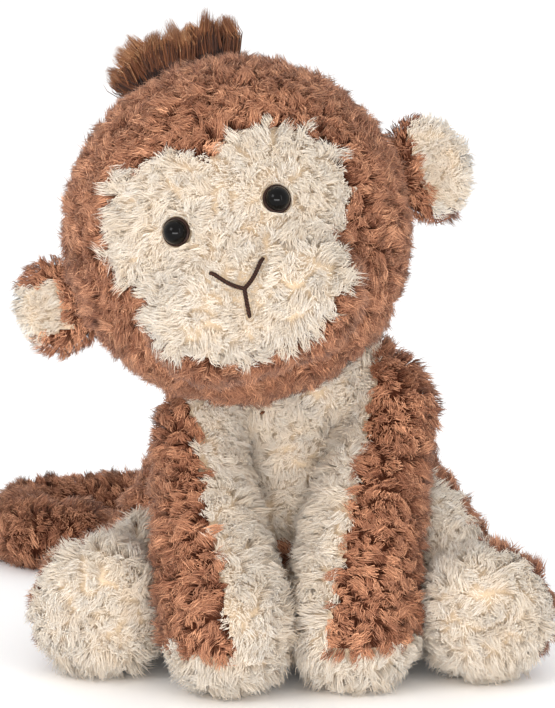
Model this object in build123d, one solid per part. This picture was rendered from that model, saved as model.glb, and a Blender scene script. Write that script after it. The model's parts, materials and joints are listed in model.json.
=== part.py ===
"""Sitting stuffed monkey, sewn from plush panels over loose filling.

Millimetres. +Z is up, the face looks along -Y, and the origin is the centre of the flat seat on
the surface that it sits on. Left and right are the monkey's own: its left side is at +X.
"""
import os
from math import asin, cos, radians, sin, sqrt

from build123d import *

# Driving dimensions
PILE = 7.0  # backing cloth and fur together: the thickness of every plush panel
SEAM = 0.1  # between the muzzle panel and the panels that it is sewn to
GAP = 0.3  # room round a sewn root, so that a limb can turn in its socket
LIMB_ROOM = 1.0  # room that the torso leaves beside a limb at rest
THREAD = 0.6  # radius of the hand-sewn closing thread
FAR = 400.0  # larger than the toy, for cutting blocks

# Torso: a pear, widest near the seat
SEAT_RADIUS = 27.0
TORSO_PROFILE = [(36.5, 9.0), (40.0, 26.0), (36.0, 50.0), (30.0, 70.0), (22.0, 86.0)]
TORSO_TOP = 97.0
NECK = Vector(0, -4, 90)
NECK_RADIUS = 22.0
NECK_PLUG_RADIUS = 11.0
NECK_RING_ANGLE = 63.0  # from the lean of the neck down to the ring of closing thread
BELLY_WIDTH = 62.0
BELLY_BOTTOM = 60.0
BELLY_CORNER = 20.0

# Head: a ball with a muzzle, leaning to the monkey's right
HEAD_CENTRE = Vector(-22, -15, 164)
HEAD_RADIUS = 62.0
HEAD_YAW = -2.0
HEAD_PITCH = -12.0
HEAD_ROLL = -18.5
MUZZLE_CENTRE = Vector(0, -45, -29)
MUZZLE_RADIUS = 26.0
MUZZLE_CHEEK = Vector(13, 0, 0)  # from the muzzle's middle to the centre of each cheek
MASK_LOBES = [(-22.0, 8.0), (20.0, 9.0)]
MASK_LOBE_RADIUS = 27.0

# Eyes: domed buttons on a shank, each held inside by a washer
EYE_X = 19.0
EYE_Z = 3.5
EYE_RADIUS = 5.2
EYE_DOME = 4.6
EYE_RIM = 1.0
EYE_BASE = 58.5  # from the head's centre to the underside of the rim
SHANK_RADIUS = 1.8
SHANK_LENGTH = 11.0
WASHER_RADIUS = 7.0
WASHER_THICKNESS = 1.6
WASHER_SEAT = 0.6  # a flat washer touches the curved cloth at its rim

# Mouth: three straight stitches of embroidery thread meeting in a Y
STITCH_RADIUS = 1.1
STITCH_START = 1.5  # each stitch starts this far from the middle of the Y
MOUTH_CENTRE = Vector(-0.5, -70.6, -23.0)
MOUTH_ENDS = [Vector(-10, -66.4, -15.5), Vector(9.5, -66.4, -16.5), Vector(-1.5, -71.0, -33.0)]

# Hair tuft: an upright fringe across the crown
TUFT_HALF_ANGLE = 22.0
TUFT_HEIGHT = 17.0
TUFT_THICKNESS = 7.0
TUFT_SEAT = 5.0  # depth of the cutting shape under the surface of the head

# Ears
EAR_CENTRE = Vector(79, 4, -6)
EAR_RADIUS = 19.0
EAR_HALF_THICKNESS = 7.5
EAR_ROOT_ROOM = 2.2
EAR_FRONT_RADIUS = 14.0
EAR_FRONT_SEAT = -1.5  # back face of the set-in front
EAR_RIM_HEIGHT = 4.5
EAR_RIM_MIDDLE = (18.0, 0.0, 3.5)  # on the rounded edge between the back and the rim

# Limbs: (root, tip, root radius, tip radius), all resting on the floor at the tip
ARMS = {
    "right": (Vector(-38, -19, 85), Vector(-23.5, -67, 24.5), 16.0, 24.0),
    "left": (Vector(38, -18, 94), Vector(21.5, -58.5, 21.5), 17.0, 20.5),
}
LEGS = {
    "right": (Vector(-50, 6, 26), Vector(-76, -57, 27), 22.0, 26.0),
    "left": (Vector(52, 8, 26), Vector(76, -65, 27), 22.0, 26.0),
}
LEG_WAIST = 18.5  # radius of the leg between hip and foot
LEG_WAIST_PLACE = 0.45  # the waist is at this share of the leg's length
LEG_SEAM_SLOPE = -0.6  # the outer panel looks outward and down by this much
HAND_CUFF = 0.9  # the cream hand starts at this share of the arm's length
SOLE_EDGE = 9.0  # rounding between the leg's side and its sole

# Tail: a tube lying on the floor, curled into a hook
TAIL_RADIUS = 14.0
TAIL_HEIGHT = 14.5
TAIL_ROUTE = [(0, 42), (-10, 149), (-116, 149), (-116, 99), (-88, 99)]
TAIL_BENDS = [46.0, 24.5, 24.5]

# Filling bag in the seat, closing seam and blank label
PELLET_BAG_RADIUS = 10.0
PELLET_BAG_HEIGHT = 16.0
PELLET_BAG_Y = -6.0
BAG_ROOM = 1.0  # between the bag and the cloth under it
BACK_SEAM_LOW = Vector(0, 38.5, 30)
BACK_SEAM_HIGH = Vector(0, 30.5, 66)
LABEL_SIZE = (1.0, 16.0, 13.0)
LABEL_PLACE = Vector(8, 36, 40)
LABEL_TURN = -12.0


def ball(centre, radius):
    return Pos(*centre) * Sphere(radius)


def half_space(origin, normal):
    """Everything on the side that the normal points to."""
    block = Box(FAR, FAR, FAR, align=(Align.CENTER, Align.CENTER, Align.MIN))
    return Plane(origin=origin, z_dir=normal).location * block


def spin(edges):
    """Solid of revolution about Z from edges in the XZ plane."""
    return revolve(make_face(edges), Axis.Z)


def dome(rim_radius, rim_height, crown):
    """Arc of a ball from a rim to a crown on the Z axis, in the XZ plane."""
    rise = abs(crown - rim_height)
    radius = (rim_radius**2 + rise**2) / (2 * rise)
    half = asin(min(1, rim_radius / radius)) / 2
    drop = radius * (1 - cos(half)) * (1 if crown > rim_height else -1)
    middle = (radius * sin(half), 0, crown - drop)
    return ThreePointArc((rim_radius, 0, rim_height), middle, (0, 0, crown))


def on_ball(radius, angle, height=0.0):
    """A point on the outline of a ball, at this angle above its middle, in the XZ plane."""
    return (radius * cos(radians(angle)), 0, height + radius * sin(radians(angle)))


def along(root, tip, shape):
    """Places a shape made along +Z so that it runs from root towards tip."""
    return Plane(origin=root, z_dir=tip - root).location * shape


def pod(root, tip, root_radius, tip_radius):
    """Two balls and the cone that is tangent to both."""
    length = (tip - root).length
    slope = (tip_radius - root_radius) / length
    side = sqrt(1 - slope**2)
    bottom = (0, 0, -root_radius)
    low_middle = on_ball(root_radius, -60)
    low = (root_radius * side, 0, -root_radius * slope)
    high = (tip_radius * side, 0, length - tip_radius * slope)
    high_middle = on_ball(tip_radius, 60, length)
    top = (0, 0, length + tip_radius)
    outline = [
        ThreePointArc(bottom, low_middle, low),
        Line(low, high),
        ThreePointArc(high, high_middle, top),
        Line(top, bottom),
    ]
    return along(root, tip, spin(outline))


def leg_solid(root, tip, root_radius, tip_radius, inset=0.0):
    """A ball at the hip and a cone that ends in a flat, round-edged sole."""
    length = (tip - root).length
    ball_radius = root_radius - inset
    sole_radius = tip_radius - inset
    end = length - inset
    edge = SOLE_EDGE - inset / 2
    waist = (LEG_WAIST - inset, 0, length * LEG_WAIST_PLACE)
    bottom = (0, 0, -ball_radius)
    low_middle = on_ball(ball_radius, -45)
    low = (ball_radius, 0, 0)
    high = (sole_radius, 0, end - edge)
    corner = edge * (1 - cos(radians(45)))
    high_middle = (sole_radius - corner, 0, end - corner)
    rim = (sole_radius - edge, 0, end)
    top = (0, 0, end)
    outline = [
        ThreePointArc(bottom, low_middle, low),
        ThreePointArc(low, waist, high),
        ThreePointArc(high, high_middle, rim),
        Line(rim, top),
        Line(top, bottom),
    ]
    return along(root, tip, spin(outline))


def torso_solid(inset=0.0):
    """The pear and the rounded neck above it."""
    points = [(radius - inset, height) for radius, height in TORSO_PROFILE]
    outline = [(SEAT_RADIUS - inset, inset)] + points
    side = Spline(*[(x, 0, z) for x, z in outline])
    top = (0, 0, TORSO_TOP - inset)
    edges = [
        Line((0, 0, inset), (outline[0][0], 0, inset)),
        side,
        Line((outline[-1][0], 0, outline[-1][1]), top),
        Line(top, (0, 0, inset)),
    ]
    return spin(edges) + ball(NECK, NECK_RADIUS - inset)


def one(shape):
    """The largest solid of a cut shape: slivers that a cut leaves are dropped."""
    return max(shape.solids(), key=lambda solid: solid.volume)


def put_in_head(shape):
    """Moves a shape from the head's own axes to its place on the body."""
    turned = Rot(0, 0, HEAD_YAW) * Rot(HEAD_PITCH, 0, 0) * Rot(0, HEAD_ROLL, 0)
    return Pos(*HEAD_CENTRE) * turned * shape


def take_from_head(point):
    """A place on the body, given in the head's own axes."""
    turned = Rot(0, 0, HEAD_YAW) * Rot(HEAD_PITCH, 0, 0) * Rot(0, HEAD_ROLL, 0)
    return ((Pos(*HEAD_CENTRE) * turned).inverse() * Pos(*point)).position


def eye_and_washer():
    """A domed eye along +Z, its rim's underside at zero, and its washer."""
    button = spin([
        dome(EYE_RADIUS, EYE_RIM, EYE_RIM + EYE_DOME),
        Line((0, 0, EYE_RIM + EYE_DOME), (0, 0, 0)),
        Line((0, 0, 0), (EYE_RADIUS, 0, 0)),
        Line((EYE_RADIUS, 0, 0), (EYE_RADIUS, 0, EYE_RIM)),
    ])
    high = (Align.CENTER, Align.CENTER, Align.MAX)
    shank = Cylinder(SHANK_RADIUS, SHANK_LENGTH, align=high)
    washer_top = HEAD_RADIUS - PILE - EYE_BASE - WASHER_SEAT
    washer = Cylinder(WASHER_RADIUS, WASHER_THICKNESS, align=high)
    washer = Pos(0, 0, washer_top) * washer - shank
    return button + shank, washer


def muzzle_solid(radius):
    return pod(MUZZLE_CENTRE - MUZZLE_CHEEK, MUZZLE_CENTRE + MUZZLE_CHEEK, radius, radius)


def head_parts():
    """Head, face, eyes, mouth and tuft, in place."""
    outer_ball = Sphere(HEAD_RADIUS)
    outer_muzzle = muzzle_solid(MUZZLE_RADIUS)
    inner_muzzle = muzzle_solid(MUZZLE_RADIUS - PILE)
    stuffing = Sphere(HEAD_RADIUS - PILE) + inner_muzzle
    shell = outer_ball + outer_muzzle - stuffing
    lobes = [
        Pos(x, 0, z) * Rot(90, 0, 0) * extrude(Circle(MASK_LOBE_RADIUS), FAR)
        for x, z in MASK_LOBES
    ]
    mask = lobes[0] + lobes[1]
    muzzle_panel = shell & outer_muzzle
    around = shell - muzzle_solid(MUZZLE_RADIUS + SEAM)
    face_panel = around & mask
    around = around - mask
    parts = {
        "head_panel_left": around & half_space((0, 0, 0), (1, 0, 0)),
        "head_panel_right": around & half_space((0, 0, 0), (-1, 0, 0)),
    }
    for side, x in (("left", EYE_X), ("right", -EYE_X)):
        depth = -sqrt(EYE_BASE**2 - EYE_X**2 - EYE_Z**2)
        place = Plane(origin=(x, depth, EYE_Z), z_dir=(x, depth, EYE_Z)).location
        eye, washer = eye_and_washer()
        eye, washer = place * eye, place * washer
        face_panel -= eye
        stuffing = stuffing - eye - washer
        parts[f"eye_{side}"] = eye
        parts[f"eye_washer_{side}"] = washer
    mouth = Compound(children=[mouth_stitch(end) for end in MOUTH_ENDS])
    neck_cut = Pos(*take_from_head(NECK)) * Sphere(NECK_RADIUS + GAP)
    parts["face_panel"] = face_panel
    parts["muzzle_panel"] = muzzle_panel - mouth
    parts["mouth_stitching"] = mouth
    parts["head_stuffing"] = stuffing
    for name in ("head_panel_left", "head_panel_right", "head_stuffing"):
        parts[name] = one(parts[name] - neck_cut)
    parts["hair_tuft"] = tuft()
    return {name: put_in_head(shape) for name, shape in parts.items()}


def mouth_stitch(end):
    start = MOUTH_CENTRE + (end - MOUTH_CENTRE).normalized() * STITCH_START
    return pod(start, end, STITCH_RADIUS, STITCH_RADIUS)


def tuft():
    """An upright fan over the crown, seated on the head ball."""
    inner = HEAD_RADIUS - TUFT_SEAT
    outer = HEAD_RADIUS + TUFT_HEIGHT
    angle = radians(TUFT_HALF_ANGLE)
    left_low = (-inner * sin(angle), inner * cos(angle))
    left_high = (-outer * sin(angle), outer * cos(angle))
    right_high = (-left_high[0], left_high[1])
    right_low = (-left_low[0], left_low[1])
    outline = [
        Line(left_low, left_high),
        ThreePointArc(left_high, (0, outer), right_high),
        Line(right_high, right_low),
        ThreePointArc(right_low, (0, inner), left_low),
    ]
    fan = extrude(make_face(outline), TUFT_THICKNESS / 2, both=True)
    return Rot(90, 0, 0) * fan - Sphere(HEAD_RADIUS)


def ear_parts(side, sign):
    """A dished disc: plush back, and a cream front set into it."""
    thick = EAR_HALF_THICKNESS
    hem = EAR_FRONT_RADIUS
    rim = EAR_RIM_HEIGHT
    back = spin([
        dome(EAR_RADIUS, 0, -thick),
        ThreePointArc((EAR_RADIUS, 0, 0), EAR_RIM_MIDDLE, (hem, 0, rim)),
        Line((hem, 0, rim), (hem, 0, EAR_FRONT_SEAT)),
        Line((hem, 0, EAR_FRONT_SEAT), (0, 0, EAR_FRONT_SEAT)),
        Line((0, 0, EAR_FRONT_SEAT), (0, 0, -thick)),
    ])
    front = spin([
        Line((0, 0, EAR_FRONT_SEAT), (hem, 0, EAR_FRONT_SEAT)),
        Line((hem, 0, EAR_FRONT_SEAT), (hem, 0, rim)),
        dome(hem, rim, thick),
        Line((0, 0, thick), (0, 0, EAR_FRONT_SEAT)),
    ])
    place = Pos(sign * EAR_CENTRE.X, EAR_CENTRE.Y, EAR_CENTRE.Z) * Rot(90, 0, 0)
    clear = Sphere(HEAD_RADIUS + EAR_ROOT_ROOM)
    return {
        f"ear_{side}_front": put_in_head(place * front),
        f"ear_{side}_back": put_in_head(one(place * back - clear)),
    }


def arm_parts(side, root, tip, root_radius, tip_radius):
    """Brown outer panel, cream inner panel, cream hand and filling."""
    outer = pod(root, tip, root_radius, tip_radius)
    inner = pod(root, tip, root_radius - PILE, tip_radius - PILE)
    shell = outer - inner
    length = (tip - root).length
    direction = (tip - root).normalized()
    hand_space = half_space(root + direction * (length * HAND_CUFF), direction)
    outward = Vector(1 if root.X > 0 else -1, 0, 0)
    outer_space = half_space(root, outward - direction * outward.dot(direction))
    sleeve = shell - hand_space
    return {
        f"arm_{side}_outer": one(sleeve & outer_space),
        f"arm_{side}_inner": one(sleeve - outer_space),
        f"hand_{side}": one(shell & hand_space),
        f"arm_{side}_stuffing": inner,
    }


def leg_parts(side, root, tip, root_radius, tip_radius):
    """Brown outer panel, cream inner panel, cream sole and filling."""
    outer = leg_solid(root, tip, root_radius, tip_radius)
    inner = leg_solid(root, tip, root_radius, tip_radius, PILE)
    shell = outer - inner
    direction = (tip - root).normalized()
    sole_space = half_space(tip - direction * PILE, direction)
    outward = Vector(1 if root.X > 0 else -1, 0, LEG_SEAM_SLOPE)
    outer_space = half_space(root, outward - direction * outward.dot(direction))
    tube = shell - sole_space
    return {
        f"leg_{side}_outer": one(tube & outer_space),
        f"leg_{side}_inner": one(tube - outer_space),
        f"foot_{side}_sole": one(shell & sole_space),
        f"leg_{side}_stuffing": inner,
    }


def tail_tube(radius):
    """A tube along the tail's route with a ball at each end."""
    route = [(x, y, TAIL_HEIGHT) for x, y in TAIL_ROUTE]
    path = FilletPolyline(*route, radius=TAIL_BENDS)
    section = Plane(origin=path @ 0, z_dir=path % 0) * Circle(radius)
    return sweep(section, path=path) + ball(route[0], radius) + ball(route[-1], radius)


def tail_parts():
    inner = tail_tube(TAIL_RADIUS - PILE)
    return {"tail_cover": tail_tube(TAIL_RADIUS) - inner, "tail_stuffing": inner}


def sockets(extra):
    """The room that the torso leaves for the limbs and the tail."""
    room = ball((*TAIL_ROUTE[0], TAIL_HEIGHT), TAIL_RADIUS + GAP + extra)
    for root, tip, root_radius, tip_radius in ARMS.values():
        room += pod(root, tip, root_radius + LIMB_ROOM + extra, tip_radius + LIMB_ROOM + extra)
    for root, tip, root_radius, tip_radius in LEGS.values():
        room += leg_solid(root, tip, root_radius, tip_radius, -LIMB_ROOM - extra)
    return room


def torso_parts():
    """Body panels, belly, filling, seat bag, seams and label."""
    body = torso_solid() - sockets(0)
    stuffing = torso_solid(PILE) - sockets(PILE)
    shell = body - stuffing
    belly_height = FAR / 4
    belly_shape = RectangleRounded(BELLY_WIDTH, belly_height * 2, BELLY_CORNER)
    belly_space = Pos(0, 0, BELLY_BOTTOM + belly_height) * Rot(90, 0, 0) * extrude(belly_shape, FAR)
    belly = shell & belly_space
    around = shell - belly_space
    neck_ring = neck_thread()
    bag = fillet(Cylinder(PELLET_BAG_RADIUS, PELLET_BAG_HEIGHT).edges(), PELLET_BAG_HEIGHT / 3)
    bag = Pos(0, PELLET_BAG_Y, PILE + BAG_ROOM + PELLET_BAG_HEIGHT / 2) * bag
    plug = ball(NECK, NECK_PLUG_RADIUS)
    plug_room = ball(NECK, NECK_PLUG_RADIUS + GAP)
    seam = back_seam()
    label = back_label(body)
    around = around - neck_ring - seam - label
    return {
        "body_panel_left": one(around & half_space((0, 0, 0), (1, 0, 0))),
        "body_panel_right": one(around & half_space((0, 0, 0), (-1, 0, 0))),
        "belly_panel": one(belly - neck_ring),
        "body_stuffing": one(stuffing - bag - plug_room),
        "pellet_bag": bag,
        "neck_seam_thread": neck_ring,
        "back_seam_thread": seam,
        "care_label": label,
    }, {"neck_stuffing": plug}


def neck_thread():
    """The ring of hand stitching that closes the neck."""
    lean = (HEAD_CENTRE - NECK).normalized()
    angle = radians(NECK_RING_ANGLE)
    ring = Torus(NECK_RADIUS * sin(angle), THREAD)
    middle = NECK + lean * (NECK_RADIUS * cos(angle))
    return Plane(origin=middle, z_dir=lean).location * ring


def back_seam():
    """The closing thread down the middle of the back."""
    return pod(BACK_SEAM_LOW, BACK_SEAM_HIGH, THREAD, THREAD)


def back_label(body):
    """A blank folded label held in the seam, low on the back."""
    thickness, reach, height = LABEL_SIZE
    label = Rot(0, 0, LABEL_TURN) * Box(thickness, reach, height)
    return Pos(*(LABEL_PLACE + Vector(0, reach / 2, 0))) * label - body


os.makedirs("parts", exist_ok=True)
torso, neck = torso_parts()
nodes = {**torso, **neck, **head_parts(), **tail_parts()}
nodes.update(ear_parts("left", 1))
nodes.update(ear_parts("right", -1))
for limb_side, limb in ARMS.items():
    nodes.update(arm_parts(limb_side, *limb))
for limb_side, limb in LEGS.items():
    nodes.update(leg_parts(limb_side, *limb))
for node_name, node_shape in nodes.items():
    export_step(node_shape, f"parts/{node_name}.step")
    print(node_name, round(node_shape.volume), len(node_shape.solids()))
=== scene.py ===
"""Blender model of the sitting stuffed monkey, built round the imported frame.

Lengths are in millimetres until a mesh is made. Every plush panel is two pieces: its cloth, which is
the stuffed backing, and its fur, which is a coat of modelled strands gathered into curly locks.
"""
import json
from math import cos, pi, radians, sin

import bpy
import numpy as np
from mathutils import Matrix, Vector, kdtree


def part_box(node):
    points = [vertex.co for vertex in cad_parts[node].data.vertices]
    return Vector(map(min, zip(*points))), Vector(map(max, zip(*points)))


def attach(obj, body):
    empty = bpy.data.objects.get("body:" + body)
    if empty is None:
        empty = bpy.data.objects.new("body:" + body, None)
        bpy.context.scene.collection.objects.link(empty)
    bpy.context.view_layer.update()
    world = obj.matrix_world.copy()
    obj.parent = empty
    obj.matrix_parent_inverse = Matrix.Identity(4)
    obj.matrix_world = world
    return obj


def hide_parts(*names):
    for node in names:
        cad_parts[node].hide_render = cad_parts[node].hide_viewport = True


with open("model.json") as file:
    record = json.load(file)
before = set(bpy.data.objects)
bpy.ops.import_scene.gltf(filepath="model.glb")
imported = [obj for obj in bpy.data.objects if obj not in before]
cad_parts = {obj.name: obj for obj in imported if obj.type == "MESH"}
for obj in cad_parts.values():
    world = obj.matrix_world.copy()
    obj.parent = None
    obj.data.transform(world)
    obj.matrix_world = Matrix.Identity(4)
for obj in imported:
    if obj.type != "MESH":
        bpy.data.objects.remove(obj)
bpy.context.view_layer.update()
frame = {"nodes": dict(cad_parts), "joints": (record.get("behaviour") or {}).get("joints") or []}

MM = 0.001
rng = np.random.default_rng(20)

# How the cloth and the coat lie in the space of each CAD panel
BACKING = 6.0  # from the CAD's outer face in to the cloth
NET = 2.0  # pitch of the grid that the cloth meshes are made on
NET_ROOM = 8.0  # how far that grid goes past the CAD box
FILLING_GAP = 1.5  # from the cloth in to the filling
FLOOR_GAP = 0.6  # from the floor up to the cloth of what rests on it
DENSITY = 3.3  # strands per square millimetre
FLOW = 15.0  # size of the patches in which the locks lie one way
OUTWARD_SHARE = 1.6  # how much a strand takes its light as the coat does, and not as a rod of its own
HIDDEN_DEPTH = 5.0  # fur is left out where another body covers it by more than this
STRAND = 0.18  # radius of a strand at its thickest
FUR_LENGTH = 8.4
LOCK_SPACING = 3.3  # between the middles of neighbouring locks
LOCK_TURN = 1.1  # how much each lock turns its own way, beside its patch's way
LOCK_REACH = (0.2, 0.7)  # how far a lock leans over, as a share of its length
LOCK_RISE = (0.5, 0.9)  # how far it stands up, likewise
LOCK_STRETCH = (0.8, 1.15)  # its length, as a share of the coat's
LOCK_CURL = 1.6  # how far the middle of a lock bends sideways, at most
STRAND_SHARE = (0.6, 1.05)  # length of a strand, as a share of its lock's
STRAND_STRAY = 0.7  # how far a strand's tip is off its place
STRAND_WAVE = 0.35  # how far its middle is off
BEND_PLACE = 0.4  # where the middle point of a strand lies along it
BEND_LIFT = 0.26  # how far that point is lifted, as a share of the length
ROOT_PART = 0.3  # the part of a strand that counts as its root, which is darker with painted shade
ROOT_PAINTED_SHADE = 0.3  # how much painted shade darkens the root, where the whole range of shades is 1
LOWEST = 0.3  # no hair is nearer to the floor than this


# ---------------------------------------------------------------- places, from the frame

joints = {j["name"]: j for j in frame["joints"]}


def unit(v):
    v = np.asarray(v, float)
    return v / np.linalg.norm(v, axis=-1, keepdims=True)


def pivot(name):
    return np.array(joints[name]["pos_m"]) / MM


def corners(*nodes):
    """The lowest and highest corner of these nodes together."""
    boxes = [[np.array(c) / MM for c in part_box(n)] for n in nodes]
    return np.min([b[0] for b in boxes], 0), np.max([b[1] for b in boxes], 0)


# The head's own axes: x to the monkey's left, y to the back, z up
EAR_PIVOT = np.array([0.0, 4.0, -6.0])  # the middle between the two ear pivots, on those axes
HEAD_RADIUS = 62.0
head_x = unit(pivot("ear_left_flop") - pivot("ear_right_flop"))
head_z = unit(joints["ear_left_flop"]["axis"])
head_y = np.cross(head_z, head_x)
head_axes = np.array([head_x, head_y, head_z])
head_centre = (pivot("ear_left_flop") + pivot("ear_right_flop")) / 2 - EAR_PIVOT @ head_axes


def to_head(p):
    return (p - head_centre) @ head_axes.T


def from_head(p):
    return np.asarray(p, float) @ head_axes + head_centre


# ---------------------------------------------------------------- shapes, as distances

def ball(centre, radius):
    centre = np.asarray(centre, float)
    return lambda p: np.linalg.norm(p - centre, axis=1) - radius


def capsule(a, b, ra, rb):
    """A rod with round ends, radius ra at a and rb at b."""
    a, b = np.asarray(a, float), np.asarray(b, float)
    run = b - a

    def distance(p):
        t = np.clip((p - a) @ run / (run @ run), 0, 1)
        return np.linalg.norm(p - a - t[:, None] * run, axis=1) - ra - (rb - ra) * t
    return distance


def chain(points, radii):
    """A bent rod through the points."""
    parts = [capsule(points[i], points[i + 1], radii[i], radii[i + 1]) for i in range(len(points) - 1)]
    return lambda p: np.min([part(p) for part in parts], 0)


def pillow(centre, axes, half):
    """An ellipsoid with its half sizes along the given axes."""
    centre, axes, half = np.asarray(centre, float), np.asarray(axes, float), np.asarray(half, float)

    def distance(p):
        q = (p - centre) @ axes.T
        k0 = np.linalg.norm(q / half, axis=1)
        k1 = np.linalg.norm(q / half ** 2, axis=1) + 1e-9
        return k0 * (k0 - 1) / k1
    return distance


def puck(face, axis, radius, depth, edge):
    """A round pad with rounded edges: its front face is at this point and looks along the axis."""
    face, axis = np.asarray(face, float), unit(axis)

    def distance(p):
        along = (face - p) @ axis
        out = np.linalg.norm(p - face + along[:, None] * axis, axis=1)
        q = np.stack([out - radius + edge, np.abs(along - depth / 2) - depth / 2 + edge], 1)
        return np.linalg.norm(np.maximum(q, 0), axis=1) + np.minimum(q.max(1), 0) - edge
    return distance


def melt(f, g, k):
    """Two shapes joined with a soft crease of about k."""
    def distance(p):
        a, b = f(p), g(p)
        h = np.clip(0.5 + 0.5 * (b - a) / k, 0, 1)
        return b * (1 - h) + a * h - k * h * (1 - h)
    return distance


def carve(f, g, k):
    """Shape f with g taken away, with an edge rounded by about k."""
    inner = melt(lambda p: -f(p), g, k)
    return lambda p: -inner(p)


def rested(f, height, k):
    """Shape f, flat where it rests at this height."""
    return carve(f, lambda p: p[:, 2] - height, k)


def lumpy(f, size, amount, seed):
    """Shape f with the soft lumps of loose filling."""
    own = np.random.default_rng(seed)
    waves = own.normal(size=(5, 3)) * (2 * pi / size) * 0.6
    phases = own.uniform(0, 2 * pi, 5)
    return lambda p: f(p) - amount * np.sin(p @ waves.T + phases).mean(1)


def slope(f, p):
    """The outward direction of shape f at each point."""
    step = 0.2
    base = f(p)
    return base, unit(np.stack([f(p + step * e) - base for e in np.eye(3)], 1) + 1e-9)


def settle(f, p, rounds):
    """Points moved on to the surface of shape f."""
    for _ in range(rounds):
        distance, outward = slope(f, p)
        p = p - np.clip(distance, -3, 3)[:, None] * outward
    return p


def net(f, low, high, pitch):
    """A closed mesh of quads on the surface of shape f."""
    lines = [np.arange(low[i] - NET_ROOM, high[i] + NET_ROOM, pitch) for i in range(3)]
    grid = np.stack(np.meshgrid(*lines, indexing="ij"), -1)
    size = np.array(grid.shape[:3])
    inside = f(grid.reshape(-1, 3)).reshape(size) < 0
    count = np.zeros(size - 1, int)
    for x in (0, 1):
        for y in (0, 1):
            for z in (0, 1):
                count += inside[x:size[0] - 1 + x, y:size[1] - 1 + y, z:size[2] - 1 + z]
    mixed = (count > 0) & (count < 8)
    number = np.full(mixed.shape, -1)
    number[mixed] = np.arange(mixed.sum())
    points = grid[:-1, :-1, :-1][mixed] + pitch / 2
    quads = []
    for axis in range(3):
        a, b = (axis + 1) % 3, (axis + 2) % 3
        first = np.moveaxis(inside, axis, 0)
        crossing = np.argwhere(np.moveaxis(first[:-1] != first[1:], 0, axis))
        goes_out = inside[tuple(crossing.T)]
        ring = []
        for da, db in ((1, 1), (0, 1), (0, 0), (1, 0)):
            cell = crossing.copy()
            cell[:, a] -= da
            cell[:, b] -= db
            ring.append(number[tuple(cell.T)])
        ring = np.stack(ring, 1)
        ring[~goes_out] = ring[~goes_out][:, ::-1]
        quads.append(ring)
    quads = np.concatenate(quads)
    points = settle(f, points, 4)
    for _ in range(3):
        total, share = np.zeros_like(points), np.zeros(len(points))
        for i in range(4):
            j = (i + 1) % 4
            np.add.at(total, quads[:, i], points[quads[:, j]])
            np.add.at(share, quads[:, i], 1)
            np.add.at(total, quads[:, j], points[quads[:, i]])
            np.add.at(share, quads[:, j], 1)
        points = settle(f, 0.5 * points + 0.5 * total / share[:, None], 2)
    return points, quads


# ---------------------------------------------------------------- meshes

def mesh_object(name, points, faces, materials, face_slot=None, normals=None):
    """A smooth-shaded object from points in millimetres and faces of one size."""
    mesh = bpy.data.meshes.new(name)
    mesh.vertices.add(len(points))
    mesh.vertices.foreach_set("co", (np.asarray(points) * MM).astype(np.float32).ravel())
    corners_each = faces.shape[1]
    mesh.loops.add(faces.size)
    mesh.loops.foreach_set("vertex_index", faces.astype(np.int32).ravel())
    mesh.polygons.add(len(faces))
    mesh.polygons.foreach_set("loop_start", np.arange(len(faces), dtype=np.int32) * corners_each)
    if face_slot is not None:
        mesh.polygons.foreach_set("material_index", face_slot.astype(np.int32))
    mesh.update(calc_edges=True)
    mesh.shade_smooth()
    if normals is not None:
        mesh.normals_split_custom_set_from_vertices(normals.astype(np.float32))
    for material in materials:
        mesh.materials.append(material)
    obj = bpy.data.objects.new(name, mesh)
    bpy.context.scene.collection.objects.link(obj)
    return obj


def strand_mesh(line, radii, outward):
    """Closed strands along the lines, an array of strand, point and axis.

    Returns points, faces, the place of each face along its strand, and normals that lean outward.
    """
    count, steps = line.shape[:2]
    along = unit(line[:, -1] - line[:, 0])
    turn = unit(np.cross(along, rng.normal(size=(count, 3))))
    across = np.cross(along, turn)
    rows = [line[:, :1]]
    normals = [outward[:, None]]
    for i in range(1, steps - 1):
        for k in range(3):
            a = 2 * pi * k / 3
            r = radii[:, i - 1, None]
            side = cos(a) * turn + sin(a) * across
            rows.append((line[:, i] + r * side)[:, None])
            normals.append(unit(outward * OUTWARD_SHARE + side)[:, None])
    rows.append(line[:, -1:])
    normals.append(outward[:, None])
    points = np.concatenate(rows, 1)
    each = points.shape[1]
    pattern, place = [], []
    for k in range(3):
        n = (k + 1) % 3
        pattern.append((0, 1 + n, 1 + k))
        place.append(0.0)
        for i in range(1, steps - 2):
            low, high = 3 * i - 2, 3 * i + 1
            pattern += [(low + k, low + n, high + k), (low + n, high + n, high + k)]
            place += [i / (steps - 1)] * 2
        last = 3 * (steps - 2) - 2
        pattern.append((last + k, last + n, each - 1))
        place.append((steps - 2) / (steps - 1))
    faces = (np.arange(count)[:, None, None] * each + np.array(pattern)[None]).reshape(-1, 3)
    return points.reshape(-1, 3), faces, np.tile(place, count), np.concatenate(normals, 1).reshape(-1, 3)


# ---------------------------------------------------------------- materials

def material(name):
    made = bpy.data.materials.new(name)
    made.use_nodes = True
    tree = made.node_tree
    shader = tree.nodes["Principled BSDF"]
    return made, tree, shader


def node(tree, kind, settings=None, **values):
    made = tree.nodes.new(kind)
    for key, value in (settings or {}).items():
        setattr(made, key, value)
    for key, value in values.items():
        made.inputs[key.replace("_", " ")].default_value = value
    return made


def linear(colour):
    """A screen colour, 0 to 255, as the linear colour that a shader takes."""
    c = np.asarray(colour, float) / 255
    return (*np.where(c <= 0.04045, c / 12.92, ((c + 0.055) / 1.055) ** 2.4), 1.0)


def noise(tree, scale, detail=3.0):
    where = node(tree, "ShaderNodeTexCoord")
    made = node(tree, "ShaderNodeTexNoise", Scale=scale, Detail=detail)
    tree.links.new(where.outputs["Object"], made.inputs["Vector"])
    return made


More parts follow.
